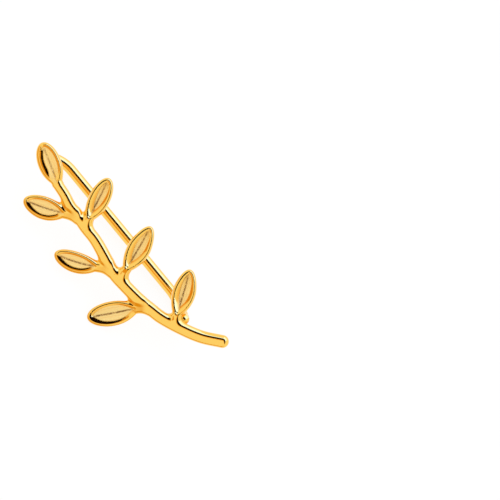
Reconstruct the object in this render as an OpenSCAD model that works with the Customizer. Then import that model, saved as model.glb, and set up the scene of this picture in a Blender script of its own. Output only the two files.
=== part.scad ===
// Ear climber: a cast sprig of seven cupped leaves, with a round ear wire soldered to its back.
// The sprig is drawn face up first, with x to the right, y up and z to the front of the jewel.
// The whole is then laid the way it rests by itself: on its back, on both ends of the ear wire's
// long leg and on the lowest leaf.

/* [Stem] */
// Straight distance from the foot of the top leaf to the middle of the stem's round lower end
stem_chord = 19.0; // [16:0.1:23]
// Slope of that straight line, in degrees below level
stem_slope = 43.7; // [35:0.1:52]
// How far the stem bows out of that straight line, to the lower left
stem_bow = 2.28; // [1.4:0.02:3]
// Width of the stem at the foot of the top leaf
stem_w_top = 0.92; // [0.7:0.01:1.2]
// Width of the stem over its lower half
stem_w_low = 1.1; // [0.8:0.01:1.4]
// Depth of the stem, from back to front
stem_d = 1.0; // [0.8:0.01:1.3]

/* [Leaves] */
// Length of a full-size leaf blade, from the foot of its hollow to its tip
blade_l = 3.75; // [3:0.01:4.5]
// Width of a full-size leaf blade
blade_w = 1.95; // [1.5:0.01:2.4]
// Depth of a blade, from its back to the crest of its rim
blade_d = 0.82; // [0.6:0.01:1.1]
// Width of the raised rim round a blade
rim_w = 0.3; // [0.2:0.01:0.42]
// Depth of the hollow inside the rim
hollow_d = 0.3; // [0.12:0.01:0.42]
// Width of a leaf's neck, between the blade and the stem
neck_w = 0.88; // [0.6:0.01:1.1]
// How far a leaf's tip curls forward
leaf_curl = 0.2; // [0:0.01:0.5]

/* [Ear wire] */
// Diameter of the ear wire
wire_d = 0.9; // [0.7:0.01:1.1]
// Clear gap between the sprig's back and the wire's long leg, for the ear lobe
ear_gap = 3.9; // [2.5:0.1:5]
// Radius of the bend between the post and the leg, at the wire's middle
post_bend_r = 1.3; // [1:0.05:2]
// Angle between the wire's long leg and the stem's straight line
leg_slant = 6.7; // [2:0.1:12]
// Angle by which the leg swings round to the post
leg_swing = 16.6; // [8:0.1:24]
// Radius of that swing, at the wire's middle
swing_r = 4; // [2.5:0.1:6]
// Angle by which the wire's free end curls in behind the top leaf
tip_curl = 25; // [10:1:40]
// Radius of that curl, at the wire's middle
curl_r = 3.35; // [2.5:0.05:5]
// Length of the straight stretch at the wire's free end
tip_l = 1.13; // [1:0.01:2]

/* [Hidden] */
gold = [0.98, 0.78, 0.36];
wire_r = wire_d / 2;
// The way the jewel's front faces, as it is drawn
face = [0, 0, 1];

// The stem's line, as shares: how far along the straight line, and how far out of the full bow
ALONG = 0;
OUT = 1;
stem_line = [
    [0, 0], [0.057, 0.11], [0.104, 0.24], [0.142, 0.3], [0.215, 0.44], [0.287, 0.52],
    [0.365, 0.71], [0.448, 0.93], [0.522, 0.985], [0.616, 1], [0.674, 0.96], [0.736, 0.9],
    [0.837, 0.67], [0.921, 0.4], [1, 0]
];

// One row a leaf: its seat along the stem's line, its heading from that line, its shares of the
// full blade's length and width, its neck's share of the blade's length, its sideways sway as a
// share of the blade's width, how much its neck widens towards the stem, and how full its tip is
SEAT = 0;
HEADING = 1;
LENGTH = 2;
WIDTH = 3;
NECK = 4;
SWAY = 5;
FLARE = 6;
TIP = 7;
leaves = [
    [0.007, 154.8, 0.954, 1, 0.07, 0.007, 0, 1.96],
    [0.162, 207.1, 0.944, 0.99, 0.333, 0.079, 0.45, 1.71],
    [0.426, 209.2, 0.967, 0.91, 0.344, 0.123, 0.45, 1.9],
    [0.652, 234.9, 1.088, 1.06, 0.233, 0.032, 0.45, 1.86],
    [0.215, 106.3, 0.98, 0.92, 0.233, -0.015, 0.45, 1.93],
    [0.487, 102.7, 1.068, 1.01, 0.293, -0.032, 0.45, 1.37],
    [0.793, 116.3, 1.024, 1.01, 0.246, -0.032, 0.45, 1.46]
];
TOP_LEAF = 0;

// Where the widest place of a blade is, as a share of its length, and how full its foot is
belly_at = 0.5;
foot_fullness = 2.3;
// Side wall of a leaf's hollow, as a share of the rim's width
wall_share = 0.45;
// Share of the blade's length that the hollow leaves solid at its tip
lip_share = 0.09;
// Shares of the blade's length over which the hollow deepens, from its foot and from its tip
foot_ease = 0.16;
tip_ease = 0.07;
// Height of a blade's edge above its back, as a share of the blade's depth
edge_share = 0.45;
// How full a blade's cross-section is, over its back and over its front
back_fullness = 0.8;
front_fullness = 5;
// Where a blade is narrow, its rim and wall take at most these shares of its half width
rim_most = 0.5;
wall_most = 0.3;
// The back of a blade lies this share of the stem's depth in front of the stem's back
back_share = 0.1;
// A blade grows shallower where it is narrower than this share of its width
round_share = 0.75;

// Seat of the ear wire's post: along the stem's line, and off it in stem widths
post_seat = 0.822;
post_side = 0.7;
// How far the post's end reaches into the sprig from its back
post_sink = 0.35;
// Straight stretch between the post's bend and the swing
link_l = 0.3;
// A bend is this much thinner than the straight wire, and reaches this many degrees into it
bend_share = 0.99;
bend_lap = 2;
// The wire's free end stops behind this share of the top leaf
tip_under = 0.77;
// First guess of how far the jewel leans over onto its lowest leaf
lean_guess = 0.6;

// Rings of points along a leaf, along the stem and over the stem's ball end
neck_rings = 3;
blade_rings = 17;
stem_rings = 40;
end_rings = 4;
// Points round the stem, steps over a leaf's back and marks on each half of its front
stem_sides = 14;
back_steps = 6;
front_marks = 6;
leaf_sides = back_steps + 1 + 2 * front_marks + 1;
// Facets of the wire and of its bends, samples of a bend, and rounds to find how the jewel lies
wire_fn = 48;
bend_fn = 96;
wire_samples = 12;
rest_rounds = 8;

function unit(v) = v / norm(v);
function smooth(u) = let (c = min(max(u, 0), 1)) c * c * (3 - 2 * c);
function heading(a) = [cos(a), sin(a), 0];

// A smooth value from a table whose first column rises, by a cubic through its rows
function row_at(table, a, i = 0) =
    i >= len(table) - 2 || a < table[i + 1][ALONG] ? i : row_at(table, a, i + 1);
function slope_at(table, i) =
    let (lo = max(i - 1, 0), hi = min(i + 1, len(table) - 1))
    (table[hi][OUT] - table[lo][OUT]) / (table[hi][ALONG] - table[lo][ALONG]);
function value_at(table, a) =
    let (
        i = row_at(table, a),
        span = table[i + 1][ALONG] - table[i][ALONG],
        u = (a - table[i][ALONG]) / span
    )
    table[i][OUT] * (1 + 2 * u) * (1 - u) * (1 - u)
    + slope_at(table, i) * span * u * (1 - u) * (1 - u)
    + table[i + 1][OUT] * u * u * (3 - 2 * u)
    + slope_at(table, i + 1) * span * u * u * (u - 1);

// Middle of the stem at a share of its line, its direction there and its width
chord_angle = -stem_slope;
function stem_at(a) =
    a * stem_chord * heading(chord_angle)
    - value_at(stem_line, a) * stem_bow * heading(chord_angle + 90);
function stem_way(a) =
    let (step = 0.01) unit(stem_at(min(a + step, 1)) - stem_at(max(a - step, 0)));
function stem_w(a) = stem_w_top + (stem_w_low - stem_w_top) * smooth(2 * a);

// Points of one closed skin: rings of points joined into triangles, with a point at either end
function skin_points(first, rings, last) = [first, for (ring = rings) each ring, last];
function skin_faces(rings, sides) = [
    for (k = [0:sides - 1]) [0, 1 + k, 1 + (k + 1) % sides],
    for (i = [0:rings - 2], k = [0:sides - 1]) let (
        a = 1 + i * sides + k,
        b = 1 + i * sides + (k + 1) % sides
    ) each [[a, a + sides, b + sides], [a, b + sides, b]],
    for (k = [0:sides - 1]) let (last = 1 + (rings - 1) * sides)
        [last + k, last + sides, last + (k + 1) % sides]
];

// The stem: an oval swept down its line, with a ball end at its foot
function stem_ring(a, scale, shift) =
    let (across = cross(face, stem_way(a)), mid = stem_at(a) + shift * stem_way(a))
    [for (k = [0:stem_sides - 1]) let (turn = 360 * k / stem_sides)
        mid + across * stem_w(a) / 2 * scale * cos(turn)
        + [0, 0, stem_d / 2 * (1 + scale * sin(turn))]];
stem_skin = [
    for (i = [0:stem_rings]) stem_ring(i / stem_rings, 1, 0),
    for (i = [1:end_rings]) let (turn = 90 * i / (end_rings + 1))
        stem_ring(1, cos(turn), stem_w_low / 2 * sin(turn))
];
stem_points = skin_points(
    stem_at(0) + [0, 0, stem_d / 2],
    stem_skin,
    stem_at(1) + stem_w_low / 2 * stem_way(1) + [0, 0, stem_d / 2]
);

// Half the width of a leaf at a share of its blade, which is below 0 in the neck
function half_width(leaf, b) =
    let (full = blade_w * leaf[WIDTH] / 2, neck = neck_w / 2)
    b < 0 ? neck * (1 + leaf[FLARE] * pow(-b / leaf[NECK], 2))
    : b < belly_at ? full - (full - neck) * pow((belly_at - b) / belly_at, foot_fullness)
    : full * sqrt(max(1 - pow((b - belly_at) / (1 - belly_at), leaf[TIP]), 0));

// Middle of a leaf's back at a share of its blade
function leaf_mid(leaf, b) =
    let (share = (b + leaf[NECK]) / (1 + leaf[NECK]))
    stem_at(leaf[SEAT])
    + (b + leaf[NECK]) * blade_l * leaf[LENGTH] * heading(chord_angle + leaf[HEADING])
    + blade_w * leaf[SWAY] * sin(180 * share) * heading(chord_angle + leaf[HEADING] + 90)
    + [0, 0, back_share * stem_d + leaf_curl * share * share];

// Height of a leaf's front above its back, u half widths off its middle
function front_height(half, u, open) =
    let (inner = half * (1 - abs(u)) - rim_w)
    blade_d * (edge_share + (1 - edge_share) * sqrt(1 - pow(abs(u), front_fullness)))
    - open * hollow_d * smooth(inner / (rim_w * wall_share));

// One ring of a leaf: the back from one side to the other, then the front the other way round
function leaf_ring(leaf, b) =
    let (
        half = half_width(leaf, b),
        across = heading(chord_angle + leaf[HEADING] + 90),
        thin = b < belly_at ? 1 : sqrt(min(half / (blade_w * leaf[WIDTH] / 2 * round_share), 1)),
        mid = leaf_mid(leaf, b),
        open = smooth(b / foot_ease) * smooth((1 - lip_share - b) / tip_ease),
        rim = min(rim_w / half, rim_most),
        wall = min(rim * wall_share, wall_most),
        marks = [1 - rim / 5, 1 - rim / 2, 1 - rim, 1 - rim - wall / 2, 1 - rim - wall,
            (1 - rim - wall) / 2],
        front = [for (u = marks) -u, 0, for (i = [front_marks - 1:-1:0]) marks[i]]
    )
    [
        for (k = [0:back_steps]) let (turn = 180 * k / back_steps)
            mid - half * cos(turn) * across
            + [0, 0, blade_d * edge_share * (1 - thin * pow(sin(turn), back_fullness))],
        for (u = front) mid - half * u * across
            + [0, 0, blade_d * edge_share * (1 - thin) + thin * front_height(half, u, open)]
    ];
function leaf_rings(leaf) = [
    for (i = [0:neck_rings - 1]) leaf_ring(leaf, -leaf[NECK] * (1 - i / neck_rings)),
    for (i = [0:blade_rings - 1]) leaf_ring(leaf, sin(90 * i / blade_rings))
];
function leaf_points(leaf) =
    let (rings = leaf_rings(leaf), first = rings[0], last = rings[len(rings) - 1])
    skin_points(
        (first[0] + first[back_steps]) / 2,
        rings,
        (last[0] + last[back_steps]) / 2
            + blade_l * leaf[LENGTH] * (1 - sin(90 * (1 - 1 / blade_rings)))
            * heading(chord_angle + leaf[HEADING])
    );
all_leaf_points = [for (leaf = leaves) leaf_points(leaf)];

// The ear wire, piece by piece: the post, its bend, the swing, the leg, the curl and the tip
leg_angle = chord_angle + 180 - leg_slant;
leg_way = heading(leg_angle);
link_way = heading(leg_angle - leg_swing);
tip_way = heading(leg_angle + tip_curl);
leg_z = -ear_gap - wire_r;
post_at = stem_at(post_seat) + post_side * stem_w(post_seat) * cross(face, stem_way(post_seat));
post_top = post_at + post_sink * face;
bend_start = post_at + (leg_z + post_bend_r) * face;
link_start = arc_point(bend_start, -face, link_way, post_bend_r, 90);
swing_start = link_start + link_l * link_way;
leg_start = arc_point(swing_start, link_way, cross(face, link_way), swing_r, leg_swing);
curl_run = arc_point([0, 0, 0], leg_way, cross(face, leg_way), curl_r, tip_curl);
tip_aim = leaf_mid(leaves[TOP_LEAF], tip_under);
leg_l = (tip_aim - leg_start - curl_run - tip_l * tip_way) * leg_way;
curl_start = leg_start + leg_l * leg_way;
tip_start = curl_start + curl_run;
tip_end = tip_start + tip_l * tip_way;

// A point of an arc that starts one way and turns towards a side
function arc_point(start, way, side, r, a) = start + r * (side * (1 - cos(a)) + way * sin(a));

// How the jewel lies: the floor touches the wire's tip, the post's bend and the lowest leaf.
// The upward direction is found by turns, from the points that each direction makes lowest.
function lowest(points, up) =
    let (heights = [for (p = points) p * up]) points[search(min(heights), heights)[0]];
bend_line = [for (k = [0:wire_samples])
    arc_point(bend_start, -face, link_way, post_bend_r, 90 * k / wire_samples)
];
sprig_points = [each stem_points, for (points = all_leaf_points) each points];
function floor_normal(up) =
    let (
        tip = tip_end - wire_r * up,
        bend = lowest(bend_line, up) - wire_r * up,
        leaf = lowest(sprig_points, up),
        normal = unit(cross(bend - tip, leaf - tip))
    )
    normal[2] < 0 ? -normal : normal;
function settled(up, rounds) = rounds < 1 ? up : settled(floor_normal(up), rounds - 1);
up = settled(unit(face + lean_guess * heading(leg_angle - 90)), rest_rounds);
// The jewel's front leans towards the viewer, who stands on the side of -Y
into = unit(up[2] * up - face);
right = cross(into, up);
function laid(p) = [p * right, p * into, p * up];
wire_line = [
    post_top,
    each bend_line,
    leg_start,
    for (k = [0:wire_samples])
        arc_point(curl_start, leg_way, cross(face, leg_way), curl_r, tip_curl * k / wire_samples),
    tip_end
];
function side_of(way, least) =
    let (
        from_sprig = [for (p = sprig_points) laid(p)[way]],
        from_wire = [for (p = wire_line) laid(p)[way]]
    )
    least ? min(min(from_sprig), min(from_wire) - wire_r)
    : max(max(from_sprig), max(from_wire) + wire_r);
shift = [
    -(side_of(0, true) + side_of(0, false)) / 2,
    -(side_of(1, true) + side_of(1, false)) / 2,
    -side_of(2, true)
];

// Places children by the directions of their own axes
module on_axes(x, y, z, at) {
    multmatrix([
        [x[0], y[0], z[0], at[0]],
        [x[1], y[1], z[1], at[1]],
        [x[2], y[2], z[2], at[2]],
        [0, 0, 0, 1]
    ])
        children();
}

module straight(start, way, side, length) {
    on_axes(side, cross(way, side), way, start)
        cylinder(h = length, r = wire_r, $fn = wire_fn);
}

module round_ended(start, way, side, length) {
    on_axes(side, cross(way, side), way, start)
        rotate_extrude($fn = wire_fn)
            intersection() {
                square([wire_r, length + wire_r]);
                union() {
                    square([wire_r, length]);
                    translate([0, length])
                        circle(wire_r, $fn = wire_fn);
                }
            }
}

module bend(start, way, side, r, a) {
    on_axes(-side, way, cross(-side, way), start + r * side)
        rotate([0, 0, -bend_lap])
            rotate_extrude(angle = a + 2 * bend_lap, $fn = bend_fn)
                translate([r, 0])
                    circle(wire_r * bend_share, $fn = wire_fn);
}

module ear_wire() {
    color(gold) {
        round_ended(bend_start, face, link_way, post_top[2] - bend_start[2]);
        bend(bend_start, -face, link_way, post_bend_r, 90);
        straight(link_start, link_way, face, link_l);
        bend(swing_start, link_way, cross(face, link_way), swing_r, leg_swing);
        straight(leg_start, leg_way, face, leg_l);
        bend(curl_start, leg_way, cross(face, leg_way), curl_r, tip_curl);
        round_ended(tip_start, tip_way, face, tip_l);
    }
}

module stem() {
    color(gold)
        polyhedron(stem_points, skin_faces(len(stem_skin), stem_sides));
}

module leaf(i) {
    color(gold)
        polyhedron(all_leaf_points[i], skin_faces(neck_rings + blade_rings, leaf_sides));
}

module ear_climber() {
    translate(shift)
        multmatrix([[each right, 0], [each into, 0], [each up, 0], [0, 0, 0, 1]]) {
            stem();
            for (i = [0:len(leaves) - 1])
                leaf(i);
            ear_wire();
        }
}

ear_climber();
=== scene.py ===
import math
import bmesh
import bpy
import numpy as np
from mathutils import Matrix, Vector


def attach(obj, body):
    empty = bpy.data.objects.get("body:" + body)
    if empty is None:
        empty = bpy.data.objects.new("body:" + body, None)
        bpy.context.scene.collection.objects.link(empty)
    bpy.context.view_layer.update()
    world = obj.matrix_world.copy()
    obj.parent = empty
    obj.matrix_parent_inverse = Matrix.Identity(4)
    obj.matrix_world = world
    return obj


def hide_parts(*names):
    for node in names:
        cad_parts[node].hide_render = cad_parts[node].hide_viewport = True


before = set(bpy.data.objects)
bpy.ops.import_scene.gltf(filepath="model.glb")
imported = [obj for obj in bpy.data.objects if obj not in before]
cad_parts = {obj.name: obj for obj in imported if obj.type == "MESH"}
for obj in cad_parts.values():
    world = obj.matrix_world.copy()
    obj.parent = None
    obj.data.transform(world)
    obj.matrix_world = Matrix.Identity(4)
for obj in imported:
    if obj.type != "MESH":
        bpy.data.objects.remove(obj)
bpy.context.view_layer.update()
print("frame loaded")


# The jewel is drawn face up in millimetres, then laid on its back.
lying = {  # the floor's right, into and up, as they point in the drawing
    "right": (0.659339, -0.751846, 0.0),
    "into": (0.571553, 0.501229, -0.64969),
    "up": (0.488467, 0.428366, 0.760199),
    "shift": (-7.99428, 0.16611, 3.21838),
    "metresPerMm": 0.001,
}
turn = np.array([lying["right"], lying["into"], lying["up"]])


def laid(points):
    return (points @ turn.T + np.array(lying["shift"])) * lying["metresPerMm"]


def laidWay(ways):
    return ways @ turn.T


def heading(degrees):
    angle = math.radians(degrees)
    return np.array([math.cos(angle), math.sin(angle)])


def smooth(u):
    c = np.clip(u, 0, 1)
    return c * c * (3 - 2 * c)


def lower(a, b, blend):  # the lower of two, with a rounded inner corner
    h = np.maximum(blend - np.abs(a - b), 0) / blend
    return np.minimum(a, b) - h * h * blend / 4


def higher(a, b, blend):
    return -lower(-a, -b, blend)


# The stem.
stem = {
    "chord": 19.0,
    "slope": 43.7,
    "bow": 2.28,
    "widthTop": 0.92,
    "widthLow": 1.1,
    "depth": 1.0,
    "leftRound": 0.14,  # how far in from its left side the front is rounded
    "rightRound": 0.49,  # and from its right side, up to a soft ridge
    "line": [  # how far along the chord, and what share of the bow it stands out there
        (0, 0), (0.057, 0.11), (0.104, 0.24), (0.142, 0.3), (0.215, 0.44), (0.287, 0.52),
        (0.365, 0.71), (0.448, 0.93), (0.522, 0.985), (0.616, 1), (0.674, 0.96), (0.736, 0.9),
        (0.837, 0.67), (0.921, 0.4), (1, 0),
    ],
}
chordAngle = -stem["slope"]


def bowAt(a):
    x, y = np.array(stem["line"], float).T
    count = len(x)
    slopes = np.array([
        (y[min(i + 1, count - 1)] - y[max(i - 1, 0)]) / (x[min(i + 1, count - 1)] - x[max(i - 1, 0)])
        for i in range(count)
    ])
    i = np.clip(np.searchsorted(x, a, side="right") - 1, 0, count - 2)
    span = x[i + 1] - x[i]
    u = (a - x[i]) / span
    return (y[i] * (1 + 2 * u) * (1 - u) ** 2 + slopes[i] * span * u * (1 - u) ** 2
            + y[i + 1] * u * u * (3 - 2 * u) + slopes[i + 1] * span * u * u * (u - 1))


def stemAt(a):
    a = np.atleast_1d(np.asarray(a, float))
    return (a[:, None] * stem["chord"] * heading(chordAngle)
            - bowAt(a)[:, None] * stem["bow"] * heading(chordAngle + 90))


def stemWay(a):
    step = 0.01
    run = stemAt(min(a + step, 1)) - stemAt(max(a - step, 0))
    return run[0] / np.linalg.norm(run)


def stemWidth(a):
    return stem["widthTop"] + (stem["widthLow"] - stem["widthTop"]) * smooth(2 * a)


# The leaves, one row each.
leaf = {
    "length": 3.75,
    "width": 1.95,
    "neck": 0.88,
    "bellyAt": 0.5,
    "footFullness": 2.3,
    "start": -0.6,  # a leaf's root begins this far behind the stem's middle
    "backHeight": 0.1,  # of the leaf's back above the stem's back
    "edgeHeight": 0.37,  # of the leaf's edge above its back
    "stepLength": 1.6,  # from the stem's height down to the leaf's
    "backRound": 0.85,
    "pointed": 0.5,  # share of the blade over which its hollow narrows to a point at the foot
    "mouth": 0.02,  # share of the blade in front of its hollow
    "lip": 0.04,  # the hollow's floor stands this much higher at its mouth
    "wallFoot": 0.06,  # the rounding between a hollow's wall and its floor
    "vee": 0.03,  # the floor rises by this share from the midrib to its sides
    "ribWide": 0.07,
    "turnOver": 0.6,  # how gradually the stem's shape gives way to the leaf's
    "rows": [  # seat, heading, length, width, neck, sway, flare, tip
        (0.007, 154.8, 0.954, 1.0, 0.07, 0.007, 0.0, 1.96),
        (0.162, 207.1, 0.944, 0.99, 0.333, 0.079, 0.2, 1.71),
        (0.426, 209.2, 0.967, 0.91, 0.344, 0.123, 0.2, 1.9),
        (0.652, 234.9, 1.088, 1.06, 0.233, 0.032, 0.2, 1.86),
        (0.215, 106.3, 0.98, 0.92, 0.233, -0.015, 0.2, 1.93),
        (0.487, 102.7, 1.068, 1.01, 0.293, -0.032, 0.2, 1.37),
        (0.793, 116.3, 1.024, 1.01, 0.246, -0.032, 0.2, 1.46),
    ],
    "kinds": ["top", "left", "left", "left", "right", "right", "right"],
    "fronts": {  # crest: height of the rim over the leaf's edge; edge: how far in the hollow begins
        "top": {
            "rim": 0.34, "leftRim": 0.22, "crest": 0.38, "curl": 0.2, "droop": 0.0, "fillet": 0.15,
            "edge": 0.34, "depth": 0.11, "wall": 1.6, "lowWall": 0.32, "rib": 0.015, "end": 0.0,
            "footEase": 0.38, "veinShare": 0.6, "crestRound": 0.2,
        },
        "left": {
            "rim": 0.34, "leftRim": 0.2, "crest": 0.38, "curl": 0.2, "droop": 0.0, "fillet": 0.5,
            "edge": 0.32, "depth": 0.075, "wall": 1.4, "lowWall": 0.32, "rib": 0.015, "end": 0.0,
            "footEase": 0.1, "veinShare": 1.0, "crestRound": 0.2,
        },
        "right": {
            "rim": 0.32, "leftRim": 0.24, "crest": 0.47, "curl": 0.0, "droop": 0.25, "fillet": 0.5,
            "edge": 0.28, "depth": 0.34, "wall": 1.2, "lowWall": 0.9, "rib": -0.02, "end": 0.75,
            "footEase": 0.1, "veinShare": 1.0, "crestRound": 0.28,
        },
    },
    "edgeShift": 0.03,  # the hollow's edge lies further in on its lower left
    "floorTilt": 0.06,  # the floor falls towards its upper right
    "rootLength": 1.4,  # over which the stem's rounding becomes the leaf's
    "margin": 0.9,  # a leaf is reckoned with up to this far from its ends
    "aside": 2,  # and up to this far from its middle line
}

# The fronts of stem and leaves rise towards their upper right.
front = {"lean": 0.15, "leanWay": 41.3, "reach": 1.3}
leanWay = heading(front["leanWay"])


def halfWidth(row, b):
    full = leaf["width"] * row[3] / 2
    neck = leaf["neck"] / 2
    b = np.asarray(b, float)
    low = neck * (1 + row[6] * (np.minimum(b, 0) / row[4]) ** 2)
    belly = leaf["bellyAt"]
    mid = full - (full - neck) * (np.clip(belly - b, 0, belly) / belly) ** leaf["footFullness"]
    far = np.clip((b - belly) / (1 - belly), 0, 1)
    tip = full * np.sqrt(np.maximum(1 - far ** row[7], 0))
    return np.where(b < 0, low, np.where(b < belly, mid, tip))


class Course:  # a line in the plane, cut into short even pieces
    def __init__(self, line, piece):
        run = np.concatenate([[0], np.cumsum(np.linalg.norm(np.diff(line, axis=0), axis=1))])
        even = np.linspace(0, run[-1], max(2, math.ceil(run[-1] / piece)) + 1)
        at = np.stack([np.interp(even, run, line[:, k]) for k in range(2)], 1)
        self.start, self.run = at[:-1], np.diff(at, axis=0)
        self.mid = self.start + self.run / 2
        self.square = (self.run ** 2).sum(1)

    def nearest(self, points):  # from the line to each point, and the nearest place as a share
        first = np.empty(len(points), int)
        for k in range(0, len(points), 20000):
            part = points[k:k + 20000]
            first[k:k + 20000] = ((self.mid ** 2).sum(1) - 2 * part @ self.mid.T).argmin(1)
        tries = np.clip(first[:, None] + np.arange(-2, 3), 0, len(self.run) - 1)
        rel = points[:, None] - self.start[tries]
        t = np.clip((rel * self.run[tries]).sum(2) / self.square[tries], 0, 1)
        gap = rel - t[:, :, None] * self.run[tries]
        best = (gap ** 2).sum(2).argmin(1)
        pick = np.arange(len(points))
        return gap[pick, best], (tries[pick, best] + t[pick, best]) / len(self.run)


stemShares = np.linspace(0, 1, 241)
stemCourse = Course(stemAt(stemShares), 0.08)
stemSteps = np.linalg.norm(np.diff(stemAt(stemShares), axis=0), axis=1)
stemRun = np.concatenate([[0], np.cumsum(stemSteps)])


# How far outside the stem a point is, which way is out, and the heights and roundings there:
# the edge between front and back, the front over it and the back under it.
def stemPlan(p):
    off, share = stemCourse.nearest(p[:, :2])
    a = np.interp(share * stemRun[-1], stemRun, stemShares)
    far = np.linalg.norm(off, axis=1)
    out = off / np.maximum(far, 1e-6)[:, None]
    half = stem["depth"] / 2
    return {
        "off": far - stemWidth(a) / 2,
        "out": out,
        "edge": np.full(len(p), half),
        "front": half + front["lean"] * (off @ leanWay),
        "back": np.full(len(p), half),
        "left": np.full(len(p), stem["leftRound"]),
        "right": np.full(len(p), stem["rightRound"]),
        "under": np.full(len(p), half),
    }


class LeafForm:
    def __init__(self, row, shape):
        self.row, self.shape = row, shape
        self.at = stemAt(row[0])[0]
        self.along = heading(chordAngle + row[1])
        self.across = heading(chordAngle + row[1] + 90)
        self.span = leaf["length"] * row[2]
        self.neck = row[4]
        b = np.concatenate([
            np.linspace(-self.neck, 0, 12)[:-1], np.sin(np.linspace(0, math.pi / 2, 90)),
        ])
        edge = np.stack([(b + self.neck) * self.span, halfWidth(row, b)], 1)
        start = leaf["start"]
        self.edge = Course(np.concatenate([[[start, 0], [start, edge[0, 1]]], edge]), 0.03)

    def local(self, p):
        rel = p[:, :2] - self.at
        run = rel @ self.along
        share = np.clip(run / ((1 + self.neck) * self.span), 0, 1)
        side = rel @ self.across - leaf["width"] * self.row[5] * np.sin(math.pi * share)
        return run, side, share

    def near(self, p):
        run, side, _ = self.local(p)
        long = (1 + self.neck) * self.span + leaf["margin"]
        return (run > -leaf["margin"]) & (run < long) & (np.abs(side) < leaf["aside"])

    def plan(self, p):
        run, side, share = self.local(p)
        b = run / self.span - self.neck
        gap, _ = self.edge.nearest(np.stack([run, np.abs(side)], 1))
        far = np.linalg.norm(gap, axis=1)
        half = halfWidth(self.row, np.maximum(b, -self.neck))
        within = (run > leaf["start"]) & (b < 1) & (np.abs(side) < half)
        way = np.where(within, -1, 1)[:, None] * gap / np.maximum(far, 1e-6)[:, None]
        out = way[:, :1] * self.along + way[:, 1:] * np.sign(side)[:, None] * self.across
        rise = front["reach"] * np.tanh(run / front["reach"])
        grown = smooth(run / leaf["rootLength"])
        shape = self.shape
        backAt = leaf["backHeight"] * stem["depth"]
        step = stem["depth"] * (1 - leaf["backHeight"]) - leaf["edgeHeight"] - shape["crest"]
        leaning = side * (self.across @ leanWay) + rise * (self.along @ leanWay)
        return {
            "off": np.where(within, -far, far) + 4 * np.maximum(0.1 - run, 0) ** 2,  # ends in the stem
            "out": out,
            "edge": backAt + leaf["edgeHeight"] + shape["curl"] * share ** 2,
            "front": (shape["crest"] + step * (1 - smooth(run / leaf["stepLength"]))
                      - shape["droop"] * share ** 3 + front["lean"] * leaning),
            "back": np.full(len(p), leaf["edgeHeight"]),
            "left": stem["leftRound"] + (shape["leftRim"] - stem["leftRound"]) * grown,
            "right": stem["rightRound"] + (shape["rim"] - stem["rightRound"]) * grown,
            "under": np.full(len(p), leaf["backRound"]),
        }, b, side

    def hollow(self, b, side, plan):  # height of its surface, its floor and its wall, and the wall's slope
        shape = self.shape
        top = plan["edge"] + plan["front"]
        inside = b - leaf["mouth"]
        openness = smooth(inside / shape["footEase"])
        narrow = np.maximum(1 - np.maximum(inside, 0) / leaf["pointed"], 0) ** 2
        right = smooth(0.5 + 0.5 * (plan["out"] @ leanWay))
        steep = shape["lowWall"] + (shape["wall"] - shape["lowWall"]) * right
        rim = shape["edge"] + leaf["edgeShift"] * (1 - 2 * right)
        rim = rim + (leaf["neck"] / 2 - rim) * narrow + 6 * np.maximum(-inside, 0)
        rib = shape["rib"] * np.exp(-(side / leaf["ribWide"]) ** 2)
        rib = rib * smooth(b / 0.2) * smooth((0.95 - b) / 0.2)  # it fades at both ends of the blade
        depth = shape["depth"] * openness * (1 - shape["end"] * smooth((b - 0.4) / 0.6))
        tilt = leaf["floorTilt"] * side * (self.across @ leanWay)
        floor = top - depth - tilt + leaf["vee"] * np.abs(side) + rib + leaf["lip"] * (1 - openness)
        wall = top + steep * (rim + plan["off"])
        return higher(floor, wall, leaf["wallFoot"] * np.minimum(steep, 1)), floor, wall, steep


leafForms = [LeafForm(row, leaf["fronts"][kind]) for row, kind in zip(leaf["rows"], leaf["kinds"])]


def sprigForm(p):  # below 0 inside the sprig, about in millimetres
    whole = stemPlan(p)
    cuts = []
    for one in leafForms:
        near = np.flatnonzero(one.near(p))
        part = p[near]
        plan, b, side = one.plan(part)
        gap = whole["off"][near] - plan["off"]
        weight = smooth(0.5 + gap / leaf["turnOver"])
        surface, _, _, steep = one.hollow(b, side, plan)
        cut = np.where(plan["off"] < 0, (part[:, 2] - surface) / np.hypot(1, steep), -9)
        cuts.append((near, cut, one.shape["crestRound"] * np.minimum(steep, 1)))
        whole["off"][near] = lower(whole["off"][near], plan["off"], one.shape["fillet"])
        for name in plan:
            if name != "off":
                w = weight[:, None] if name == "out" else weight
                whole[name][near] = whole[name][near] * (1 - w) + plan[name] * w
    right = 0.5 + 0.5 * (whole["out"] @ leanWay)
    rounding = whole["left"] + (whole["right"] - whole["left"]) * smooth(right)
    z = p[:, 2] - whole["edge"]
    upper = np.maximum(1 + whole["off"] / rounding, 0)
    under = np.maximum(1 + whole["off"] / whole["under"], 0)
    over = (np.sqrt(upper ** 2 + (z / whole["front"]) ** 2) - 1) * rounding
    below = (np.sqrt(under ** 2 + (z / whole["back"]) ** 2) - 1) * whole["under"]
    shape = np.where(z > 0, over, below)
    for near, cut, crestRound in cuts:
        shape[near] = higher(shape[near], cut, crestRound)
    return shape


def slopeOf(form, p, here=None):  # with the form's value here it is quicker and a little rougher
    step = 0.003
    if here is None:
        return np.stack([form(p + way) - form(p - way) for way in np.eye(3) * step], 1) / (2 * step)
    return np.stack([form(p + way) - here for way in np.eye(3) * step], 1) / step


# Rough beads along the sprig, grown together into one skin.
beads = {
    "voxel": 0.054,
    "stemCount": 70,
    "leafCount": 20,
    "reach": 0.35,  # of a leaf's bead along the leaf
    "height": 0.4,
    "least": 0.1,  # half width from which a bead is worth setting
}


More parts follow.
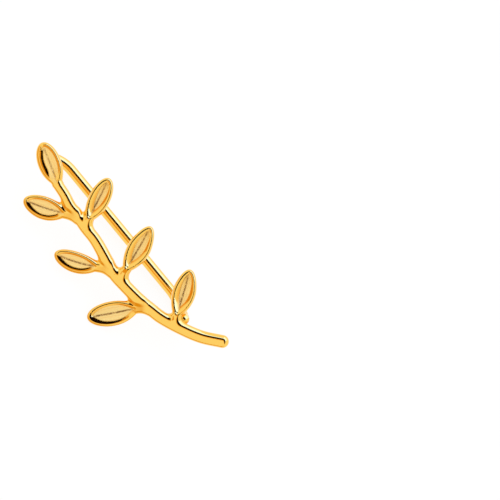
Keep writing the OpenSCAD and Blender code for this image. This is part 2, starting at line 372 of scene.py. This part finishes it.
def bead(form, at, along, across, sizes):
    place = Matrix((
        (along[0] * sizes[0], across[0] * sizes[1], 0, at[0]),
        (along[1] * sizes[0], across[1] * sizes[1], 0, at[1]),
        (0, 0, sizes[2], at[2]),
        (0, 0, 0, 1),
    ))
    bmesh.ops.create_icosphere(form, subdivisions=2, radius=1.0, matrix=place)


def meshOf(name, form):
    mesh = bpy.data.meshes.new(name)
    form.to_mesh(mesh)
    form.free()
    piece = bpy.data.objects.new(name, mesh)
    bpy.context.scene.collection.objects.link(piece)
    return piece


def roughSprig():
    form = bmesh.new()
    for a in np.linspace(0, 1, beads["stemCount"]):
        way = stemWay(a)
        half = float(stemWidth(a)) / 2
        at = (*stemAt(a)[0], stem["depth"] / 2)
        bead(form, at, way, (-way[1], way[0]), (half, half, stem["depth"] / 2))
    for one in leafForms:
        for share in np.linspace(0, 1, beads["leafCount"]):
            b = -one.neck + (1 + one.neck) * share
            half = float(halfWidth(one.row, b))
            reach = min(beads["reach"], (1 - b) * one.span + 0.02)
            sway = leaf["width"] * one.row[5] * math.sin(math.pi * share)
            at = one.at + (b + one.neck) * one.span * one.along + sway * one.across
            high = leaf["backHeight"] + leaf["edgeHeight"] + one.shape["curl"] * share ** 2
            if half > beads["least"]:
                bead(form, (*at, high), one.along, one.across, (reach, half, beads["height"]))
    piece = meshOf("sprig", form)
    skin = piece.modifiers.new("skin", "REMESH")
    skin.mode = "VOXEL"
    skin.voxel_size = beads["voxel"]
    shaped = bpy.data.meshes.new_from_object(piece.evaluated_get(bpy.context.evaluated_depsgraph_get()))
    piece.modifiers.clear()
    piece.data = shaped
    return piece


pressing = {"rounds": 7, "easings": 5, "ease": 0.6, "farthest": 0.12}


def pressed(piece):  # the skin's points are moved onto the sprig's form
    mesh = piece.data
    count = len(mesh.vertices)
    flat = np.empty(count * 3)
    mesh.vertices.foreach_get("co", flat)
    p = flat.reshape(-1, 3)
    ends = np.empty(len(mesh.edges) * 2, int)
    mesh.edges.foreach_get("vertices", ends)
    first, second = ends.reshape(-1, 2).T
    links = np.bincount(first, minlength=count) + np.bincount(second, minlength=count)

    def onto(p):
        f = sprigForm(p)
        slope = slopeOf(sprigForm, p, f)
        step = -f[:, None] * slope / np.maximum((slope ** 2).sum(1), 0.05)[:, None]
        size = np.linalg.norm(step, axis=1)
        return p + step * np.minimum(1, pressing["farthest"] / np.maximum(size, 1e-9))[:, None], slope

    for number in range(pressing["rounds"]):
        p, slope = onto(p)
        if number < pressing["easings"]:  # the points are spread more evenly along the form
            normal = slope / np.linalg.norm(slope, axis=1)[:, None]
            mean = np.stack([
                np.bincount(first, p[second, k], count) + np.bincount(second, p[first, k], count)
                for k in range(3)
            ], 1) / links[:, None]
            shift = (mean - p) * pressing["ease"]
            p = p + shift - (shift * normal).sum(1)[:, None] * normal
    slope = slopeOf(sprigForm, p)
    normal = slope / np.linalg.norm(slope, axis=1)[:, None]
    print("sprig pressed, off by at most", round(float(np.abs(sprigForm(p)).max()), 4), "mm")
    return p, normal


marks = {
    "hollowSkin": 0.11,  # how near a hollow's surface a point counts as in it
    "edgeIn": 0.1,  # how far inside the leaf the hollow's finish begins
    "change": 0.1,  # the height over which the wall's finish becomes the floor's
    "veinWide": 0.07,
    # the vein's painted shade is set off the midrib by this much, onto one flank
    "veinAside": 0.03,
    "leafApart": 5,  # so that no two leaves have the same strands
}


def masks(p):  # where the sprig is satin, veined, a hollow's wall, and where its strands run
    satin, vein, wallShare, strand = (np.zeros(len(p)) for _ in range(4))
    for number, one in enumerate(leafForms):
        near = one.near(p)
        part = p[near]
        plan, b, side = one.plan(part)
        surface, floor, wall, steep = one.hollow(b, side, plan)
        inHollow = smooth(1 - np.abs(part[:, 2] - surface) / marks["hollowSkin"])
        inHollow = inHollow * (plan["off"] < -marks["edgeIn"])
        onFloor = smooth((floor - wall) / (marks["change"] * steep) + 0.5)
        onFloor = np.maximum(onFloor, 1 - smooth((b - leaf["mouth"]) / 0.12))
        satin[near] = np.maximum(satin[near], inHollow * onFloor)
        # the walls' mask, where their painted shade and softer shine go
        onWall = smooth((wall - floor) / marks["change"] + 0.6) * smooth((steep - 0.4) / 0.6)
        wallShare[near] = np.maximum(wallShare[near], inHollow * onWall)
        # painted shade along one flank of the midrib
        aside = side + marks["veinAside"] * np.sign(one.shape["rib"])
        line = np.exp(-(aside / marks["veinWide"]) ** 2) * smooth(b / 0.1) * smooth((0.9 - b) / 0.1)
        vein[near] = np.maximum(vein[near], line * inHollow * one.shape["veinShare"])
        half = np.maximum(halfWidth(one.row, np.clip(b, -one.neck, 0.97)), 0.2)
        strand[near] = np.where(plan["off"] < 0, side / half + marks["leafApart"] * number, strand[near])
    return {"satin": satin, "vein": vein, "wall": wallShare, "strand": strand}


sprig = roughSprig()
print("skin grown,", len(sprig.data.polygons), "faces")
points, normals = pressed(sprig)
sprig.data.vertices.foreach_set("co", laid(points).ravel())
for name, values in masks(points).items():
    sprig.data.attributes.new(name, "FLOAT", "POINT").data.foreach_set("value", values)
sprig.data.shade_smooth()
sprig.data.normals_split_custom_set_from_vertices(laidWay(normals))
sprig.data.update()


# The ear wire, drawn out along its line.
wire = {
    "diameter": 0.9,
    "gap": 3.9,  # clear between the sprig's back and the leg
    "postSeat": 0.822,  # share of the stem at which the post stands
    "postSide": 0.7,  # and how far beside the stem's middle, in stem widths
    "postSink": 0.35,
    "postBend": 1.3,
    "link": 0.3,
    "legSlant": 6.7,  # degrees between the leg and the stem's chord
    "legSwing": 16.6,
    "swing": 4.0,
    "leg": 12.9881,
    "tipCurl": 25.0,  # degrees
    "curl": 3.35,
    "tip": 1.13,
    "sides": 64,
    "endRings": 12,
}


def wireLine():
    radius = wire["diameter"] / 2
    legAngle = chordAngle + 180 - wire["legSlant"]
    linkAngle = legAngle - wire["legSwing"]
    way = stemWay(wire["postSeat"])
    seat = (stemAt(wire["postSeat"])[0]
            + wire["postSide"] * stemWidth(wire["postSeat"]) * np.array([-way[1], way[0]]))
    legHeight = -wire["gap"] - radius
    line = [np.array([*seat, wire["postSink"]])]

    def straightTo(place, pieces):
        begin = line[-1]
        line.extend(begin + (place - begin) * k / pieces for k in range(1, pieces + 1))

    def arc(way, side, r, degrees):
        begin = line[-1]
        pieces = max(4, round(degrees / 2.5))
        for k in range(1, pieces + 1):
            a = math.radians(degrees * k / pieces)
            line.append(begin + r * (side * (1 - math.cos(a)) + way * math.sin(a)))

    def flatWay(degrees):
        return np.array([*heading(degrees), 0])

    straightTo(np.array([*seat, legHeight + wire["postBend"]]), 8)
    arc(np.array([0, 0, -1.0]), flatWay(linkAngle), wire["postBend"], 90)
    straightTo(line[-1] + wire["link"] * flatWay(linkAngle), 2)
    arc(flatWay(linkAngle), flatWay(linkAngle + 90), wire["swing"], wire["legSwing"])
    straightTo(line[-1] + wire["leg"] * flatWay(legAngle), 30)
    arc(flatWay(legAngle), flatWay(legAngle + 90), wire["curl"], wire["tipCurl"])
    straightTo(line[-1] + wire["tip"] * flatWay(legAngle + wire["tipCurl"]), 4)
    return np.array(line)


def drawnWire():
    line = laid(wireLine())
    ways = np.gradient(line, axis=0)
    ways /= np.linalg.norm(ways, axis=1)[:, None]
    ways[0], ways[-1] = line[1] - line[0], line[-1] - line[-2]
    radius = wire["diameter"] / 2 * lying["metresPerMm"]
    stations = [(Vector(line[k]), Vector(ways[k]).normalized(), radius) for k in range(len(line))]
    last, lastWay = stations[-1][0], stations[-1][1]
    for k in range(1, wire["endRings"] + 1):  # the round end
        a = math.pi / 2 * k / (wire["endRings"] + 0.5)
        stations.append((last + lastWay * radius * math.sin(a), lastWay, radius * math.cos(a)))
    form = bmesh.new()
    side = stations[0][1].orthogonal().normalized()
    bmesh.ops.create_circle(form, segments=wire["sides"], radius=radius, cap_ends=False)
    ring = list(form.edges)
    turnTo = Matrix((side, stations[0][1].cross(side), stations[0][1])).transposed().to_4x4()
    bmesh.ops.transform(form, matrix=Matrix.Translation(stations[0][0]) @ turnTo, verts=form.verts)
    bmesh.ops.contextual_create(form, geom=ring)
    here = stations[0]
    for there in stations[1:]:
        grown = bmesh.ops.extrude_edge_only(form, edges=ring)["geom"]
        ring = [g for g in grown if isinstance(g, bmesh.types.BMEdge)]
        moved = [g for g in grown if isinstance(g, bmesh.types.BMVert)]
        roll = here[1].rotation_difference(there[1]).to_matrix().to_4x4()
        scale = Matrix.Scale(there[2] / here[2], 4)
        place = Matrix.Translation(there[0]) @ roll @ scale @ Matrix.Translation(-here[0])
        bmesh.ops.transform(form, matrix=place, verts=moved)
        ring = [e for e in ring if e.verts[0] in set(moved) and e.verts[1] in set(moved)]
        here = there
    bmesh.ops.contextual_create(form, geom=ring)
    bmesh.ops.recalc_face_normals(form, faces=form.faces)
    piece = meshOf("ear_wire", form)
    piece.data.shade_smooth()
    return piece


earWire = drawnWire()
print("ear wire drawn,", len(earWire.data.polygons), "faces")


class Shade:  # a shader socket that can be reckoned with like a number
    def __init__(self, tree, socket=None):
        self.tree, self.socket = tree, socket

    def node(self, kind, settings={}, sockets={}, out=0):
        made = self.tree.nodes.new(kind)
        for name, value in settings.items():
            setattr(made, name, value)
        for name, value in sockets.items():
            if isinstance(value, Shade):
                self.tree.links.new(value.socket, made.inputs[name])
            else:
                made.inputs[name].default_value = value
        return Shade(self.tree, made.outputs[out])

    def sum(self, operation, a, b):
        return self.node("ShaderNodeMath", {"operation": operation}, {0: a, 1: b})

    def __add__(self, other):
        return self.sum("ADD", self, other)

    def __radd__(self, other):
        return self.sum("ADD", other, self)

    def __sub__(self, other):
        return self.sum("SUBTRACT", self, other)

    def __rsub__(self, other):
        return self.sum("SUBTRACT", other, self)

    def __mul__(self, other):
        return self.sum("MULTIPLY", self, other)

    def __rmul__(self, other):
        return self.sum("MULTIPLY", other, self)

    def into(self, shader, name):
        self.tree.links.new(self.socket, shader.inputs[name])


gold = {
    "colour": (0.99, 0.62, 0.125, 1),
    # painted shade: the hollows' walls are tinted deep orange for the shade in them
    "paintedWallShade": (0.9, 0.36, 0.03, 1),
    "wallPolish": 0.25,
    # painted shade: a dark brown line along one flank of the midrib, for the shade in its groove
    "paintedVeinShade": (0.24, 0.08, 0.01, 1),
    "satinColour": (1.0, 0.74, 0.26, 1),
    "strandColour": (0.97, 0.56, 0.16, 1),
    "strands": 12.0,  # fine lines across half a leaf
    "polish": 0.05,
    "wirePolish": 0.12,
    "satin": 0.4,
    "matt": 0.9,  # the stippled floors of the leaves shine by this much less
    "grainSize": 0.00011,
    "grainDepth": 0.00001,
    "stipple": (0.32, 0.5),  # the grain between which a vein breaks up
    "strandRange": (0.45, 0.65),
    "strandShare": 0.7,
}


def mixColours(factor, a, b):  # by number, because the Mix node's sockets share their names
    return factor.node("ShaderNodeMix", {"data_type": "RGBA"}, {0: factor, 6: a, 7: b}, out=2)


def sprigGold():
    material = bpy.data.materials.new("sprig gold")
    material.use_nodes = True
    tree = material.node_tree
    shader = tree.nodes["Principled BSDF"]
    at = Shade(tree)
    place = at.node("ShaderNodeTexCoord", out="Object")
    satin = at.node("ShaderNodeAttribute", {"attribute_name": "satin"}, out="Fac")
    vein = at.node("ShaderNodeAttribute", {"attribute_name": "vein"}, out="Fac")
    grain = at.node("ShaderNodeTexNoise", {}, {
        "Vector": place, "Scale": 1 / gold["grainSize"], "Detail": 2.0, "Roughness": 0.6,
    })
    stipple = at.node("ShaderNodeMapRange", {}, {
        "Value": grain, "From Min": gold["stipple"][0], "From Max": gold["stipple"][1],
    })
    across = at.node("ShaderNodeAttribute", {"attribute_name": "strand"}, out="Fac")
    lines = at.node("ShaderNodeTexNoise", {"noise_dimensions": "1D"}, {
        "W": across, "Scale": gold["strands"], "Detail": 1.0, "Roughness": 0.5,
    })
    strand = at.node("ShaderNodeMapRange", {}, {
        "Value": lines, "From Min": gold["strandRange"][0], "From Max": gold["strandRange"][1],
        "To Max": gold["strandShare"],
    })
    wall = at.node("ShaderNodeAttribute", {"attribute_name": "wall"}, out="Fac")
    stranded = mixColours(strand, gold["satinColour"], gold["strandColour"])
    brushed = mixColours(satin, gold["colour"], stranded)
    # painted shade: the hollows' walls are tinted deep orange
    metal = mixColours(wall * (1 - satin), brushed, gold["paintedWallShade"])
    # painted shade along the vein, broken into a stipple
    line = vein * stipple
    mixColours(line, metal, gold["paintedVeinShade"]).into(shader, "Base Color")
    (1 - satin * gold["matt"] * (1 - line)).into(shader, "Metallic")
    rough = gold["polish"] + satin * (gold["satin"] - gold["polish"])
    (rough + wall * (gold["wallPolish"] - gold["polish"]) * (1 - satin)).into(shader, "Roughness")
    bump = at.node("ShaderNodeBump", {}, {
        "Height": grain * satin * satin, "Distance": gold["grainDepth"], "Strength": 1.0,
    })
    bump.into(shader, "Normal")
    return material


def wireGold():
    material = bpy.data.materials.new("wire gold")
    material.use_nodes = True
    shader = material.node_tree.nodes["Principled BSDF"]
    shader.inputs["Metallic"].default_value = 1
    shader.inputs["Base Color"].default_value = gold["colour"]
    shader.inputs["Roughness"].default_value = gold["wirePolish"]
    return material


sprig.data.materials.append(sprigGold())
earWire.data.materials.append(wireGold())
for piece in (sprig, earWire):
    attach(piece, "root")
    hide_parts("ear_climber")
print("gold set")


# A pale floor in a white room, and four plain boards for the gold to mirror.
studio = {
    "floorSize": 4.0,
    "floorColour": (0.13, 0.13, 0.13, 1),
    "floorGlow": 0.89,
    "room": 1.0,
    "archRadius": 0.9,
    "archSteps": 48,
    "archHalfWidth": 0.5,
    "archFrom": 86.0,  # degrees over the front horizon
    "archTo": 152.0,
    "archLight": 5.6,
    "archColour": (0.213, 0.33, 1.0, 1),  # cool, so that gold shines cream in it
    "archEnd": (0.213, 0.25, 0.5, 1),
    "lensAway": 0.7,
    "lensAngle": 25.0,
    "lensStretch": 1.5,  # it is this much wider than high
    "lensSides": 64,
    "lensRise": 16.0,  # degrees over the camera's own place
    "lensColour": (0.01, 0.004, 0.001, 1),
    "lensFoot": (0.8, 0.42, 0.06, 1),  # its lower edge is warmer
    "lensFade": 5.0,  # degrees
    "cardAway": 0.8,
    "cardWidth": 1.2,
    "cardFrom": 0.0,  # degrees over the floor
    "cardTo": 31.0,
    "cardColour": (0.76, 0.41, 0.045, 1),
    "cardTop": (1.0, 0.95, 0.9, 1),  # it pales towards the room
    "cardPales": 0.3,  # from this share of its height
    "sheetBack": 0.0,  # the card's lying part ends here, under the jewel
    "sheetDeep": -0.009,  # its colour is deepest from here on
    "sheetPale": (1.0, 0.9, 0.7, 1),
    "sheetHigh": 0.0001,
    "focal": 400.0,
    "sensor": 36,
    "aim": (16.0417, -5.5, 0.5),  # in the drawing
    "wide": 41.667,  # millimetres across the picture
}


def plain(name, colour, light=None, glow=0.0):  # a matt surface, or with light a shining board
    material = bpy.data.materials.new(name)
    material.use_nodes = True
    tree = material.node_tree
    if light is None:
        tree.nodes["Principled BSDF"].inputs["Base Color"].default_value = colour
        tree.nodes["Principled BSDF"].inputs["Roughness"].default_value = 1
        tree.nodes["Principled BSDF"].inputs["Specular IOR Level"].default_value = 0
        tree.nodes["Principled BSDF"].inputs["Emission Color"].default_value = (1, 1, 1, 1)
        tree.nodes["Principled BSDF"].inputs["Emission Strength"].default_value = glow
    else:
        lamp = tree.nodes.new("ShaderNodeEmission")
        lamp.inputs["Color"].default_value = colour
        lamp.inputs["Strength"].default_value = light
        tree.links.new(lamp.outputs[0], tree.nodes["Material Output"].inputs["Surface"])
    return material


def fade(material, axis, places, colours):  # from one colour to the other along an axis
    at = Shade(material.node_tree)
    place = at.node("ShaderNodeTexCoord", out="Object")
    apart = at.node("ShaderNodeSeparateXYZ", {}, {"Vector": place}, out=axis)
    farther = at.node("ShaderNodeMapRange", {"interpolation_type": "SMOOTHSTEP"}, {
        "Value": apart, "From Min": places[0], "From Max": places[1],
    })
    mixColours(farther, *colours).into(material.node_tree.nodes["Emission"], "Color")


aim = Vector(laid(np.array([studio["aim"]]))[0])
axes = [Vector(way) for way in laidWay(np.eye(3))]
turned = Matrix(axes).transposed().to_4x4()


def floorPlane():
    form = bmesh.new()
    bmesh.ops.create_grid(form, x_segments=1, y_segments=1, size=studio["floorSize"] / 2)
    piece = meshOf("floor", form)
    piece.data.materials.append(plain("floor", studio["floorColour"], glow=studio["floorGlow"]))
    return piece


def archBoard():  # a line spun over the jewel
    form = bmesh.new()
    start, end = (math.radians(studio[name]) for name in ("archFrom", "archTo"))
    reach = studio["archRadius"]
    ends = [form.verts.new((x, -reach * math.cos(start), reach * math.sin(start)))
            for x in (-studio["archHalfWidth"], studio["archHalfWidth"])]
    line = form.edges.new(ends)
    bmesh.ops.spin(form, geom=[*ends, line], cent=(0, 0, 0), axis=(-1, 0, 0),
                   angle=math.radians(studio["archTo"] - studio["archFrom"]), steps=studio["archSteps"])
    piece = meshOf("arch_light", form)
    light = plain("arch light", studio["archColour"], studio["archLight"])
    fade(light, "Y", (-reach * math.cos(start), -reach * math.cos(end)),
         (studio["archColour"], studio["archEnd"]))
    piece.data.materials.append(light)
    return piece


def darkBoard():  # over the camera's place, for the black lines
    form = bmesh.new()
    bmesh.ops.create_circle(form, segments=studio["lensSides"], cap_ends=True,
                            radius=studio["lensAway"] * math.tan(math.radians(studio["lensAngle"])))
    raised = Matrix.Rotation(math.radians(-studio["lensRise"]), 4, "X")
    bmesh.ops.transform(form, verts=form.verts, matrix=(
        Matrix.Translation(aim) @ raised @ Matrix.Diagonal((studio["lensStretch"], 1, 1, 1))
        @ Matrix.Translation(axes[2] * studio["lensAway"]) @ turned))
    piece = meshOf("lens_dark", form)
    dark = plain("lens dark", studio["lensColour"], 1.0)
    middle = raised @ (axes[2] * studio["lensAway"])
    rising = raised @ axes[1] * studio["lensAway"]
    low, high = ((middle - rising * math.tan(math.radians(studio["lensAngle"] - part))).z + aim.z
                 for part in (0, studio["lensFade"]))
    fade(dark, "Z", (low, high), (studio["lensFoot"], studio["lensColour"]))
    piece.data.materials.append(dark)
    return piece


def warmCard():
    form = bmesh.new()
    low, high = (studio["cardAway"] * math.tan(math.radians(studio[name]))
                 for name in ("cardFrom", "cardTo"))
    place = Matrix.Translation((0, -studio["cardAway"], (low + high) / 2))
    bmesh.ops.create_grid(form, x_segments=1, y_segments=1, size=0.5, matrix=(
        place @ Matrix.Rotation(math.pi / 2, 4, "X")
        @ Matrix.Diagonal((studio["cardWidth"], high - low, 1, 1))))
    piece = meshOf("warm_card", form)
    light = plain("warm card", studio["cardColour"], 1.0)
    fade(light, "Z", (studio["cardPales"] * high, high), (studio["cardColour"], studio["cardTop"]))
    piece.data.materials.append(light)
    return piece


def warmSheet():  # the card's lying part
    form = bmesh.new()
    deep = studio["cardAway"] + studio["sheetBack"]
    place = Matrix.Translation((0, studio["sheetBack"] - deep / 2, studio["sheetHigh"]))
    bmesh.ops.create_grid(form, x_segments=1, y_segments=1, size=0.5, matrix=(
        place @ Matrix.Diagonal((studio["cardWidth"], deep, 1, 1))))
    piece = meshOf("warm_sheet", form)
    light = plain("warm sheet", studio["cardColour"], 1.0)
    fade(light, "Y", (studio["sheetDeep"], studio["sheetBack"]),
         (studio["cardColour"], studio["sheetPale"]))
    piece.data.materials.append(light)
    return piece


floor = floorPlane()
arch = archBoard()
lens = darkBoard()
card = warmCard()
sheet = warmSheet()
for board in (arch, lens, card, sheet):  # the gold mirrors them, and they light nothing else
    board.visible_diffuse = False
    board.visible_shadow = False
for board in (card, sheet):
    board.visible_camera = False

world = bpy.data.worlds.new("white room")
bpy.context.scene.world = world
world.use_nodes = True
world.node_tree.nodes["Background"].inputs["Color"].default_value = (1, 1, 1, 1)
world.node_tree.nodes["Background"].inputs["Strength"].default_value = studio["room"]

camera = bpy.data.objects.new("camera", bpy.data.cameras.new("camera"))
bpy.context.scene.collection.objects.link(camera)
camera.data.lens = studio["focal"]
camera.data.sensor_width = studio["sensor"]
away = studio["focal"] * studio["wide"] / studio["sensor"] * lying["metresPerMm"]
camera.matrix_world = Matrix.Translation(aim + axes[2] * away) @ turned
bpy.context.scene.camera = camera
bpy.context.scene.view_settings.view_transform = "Standard"
print("studio set")
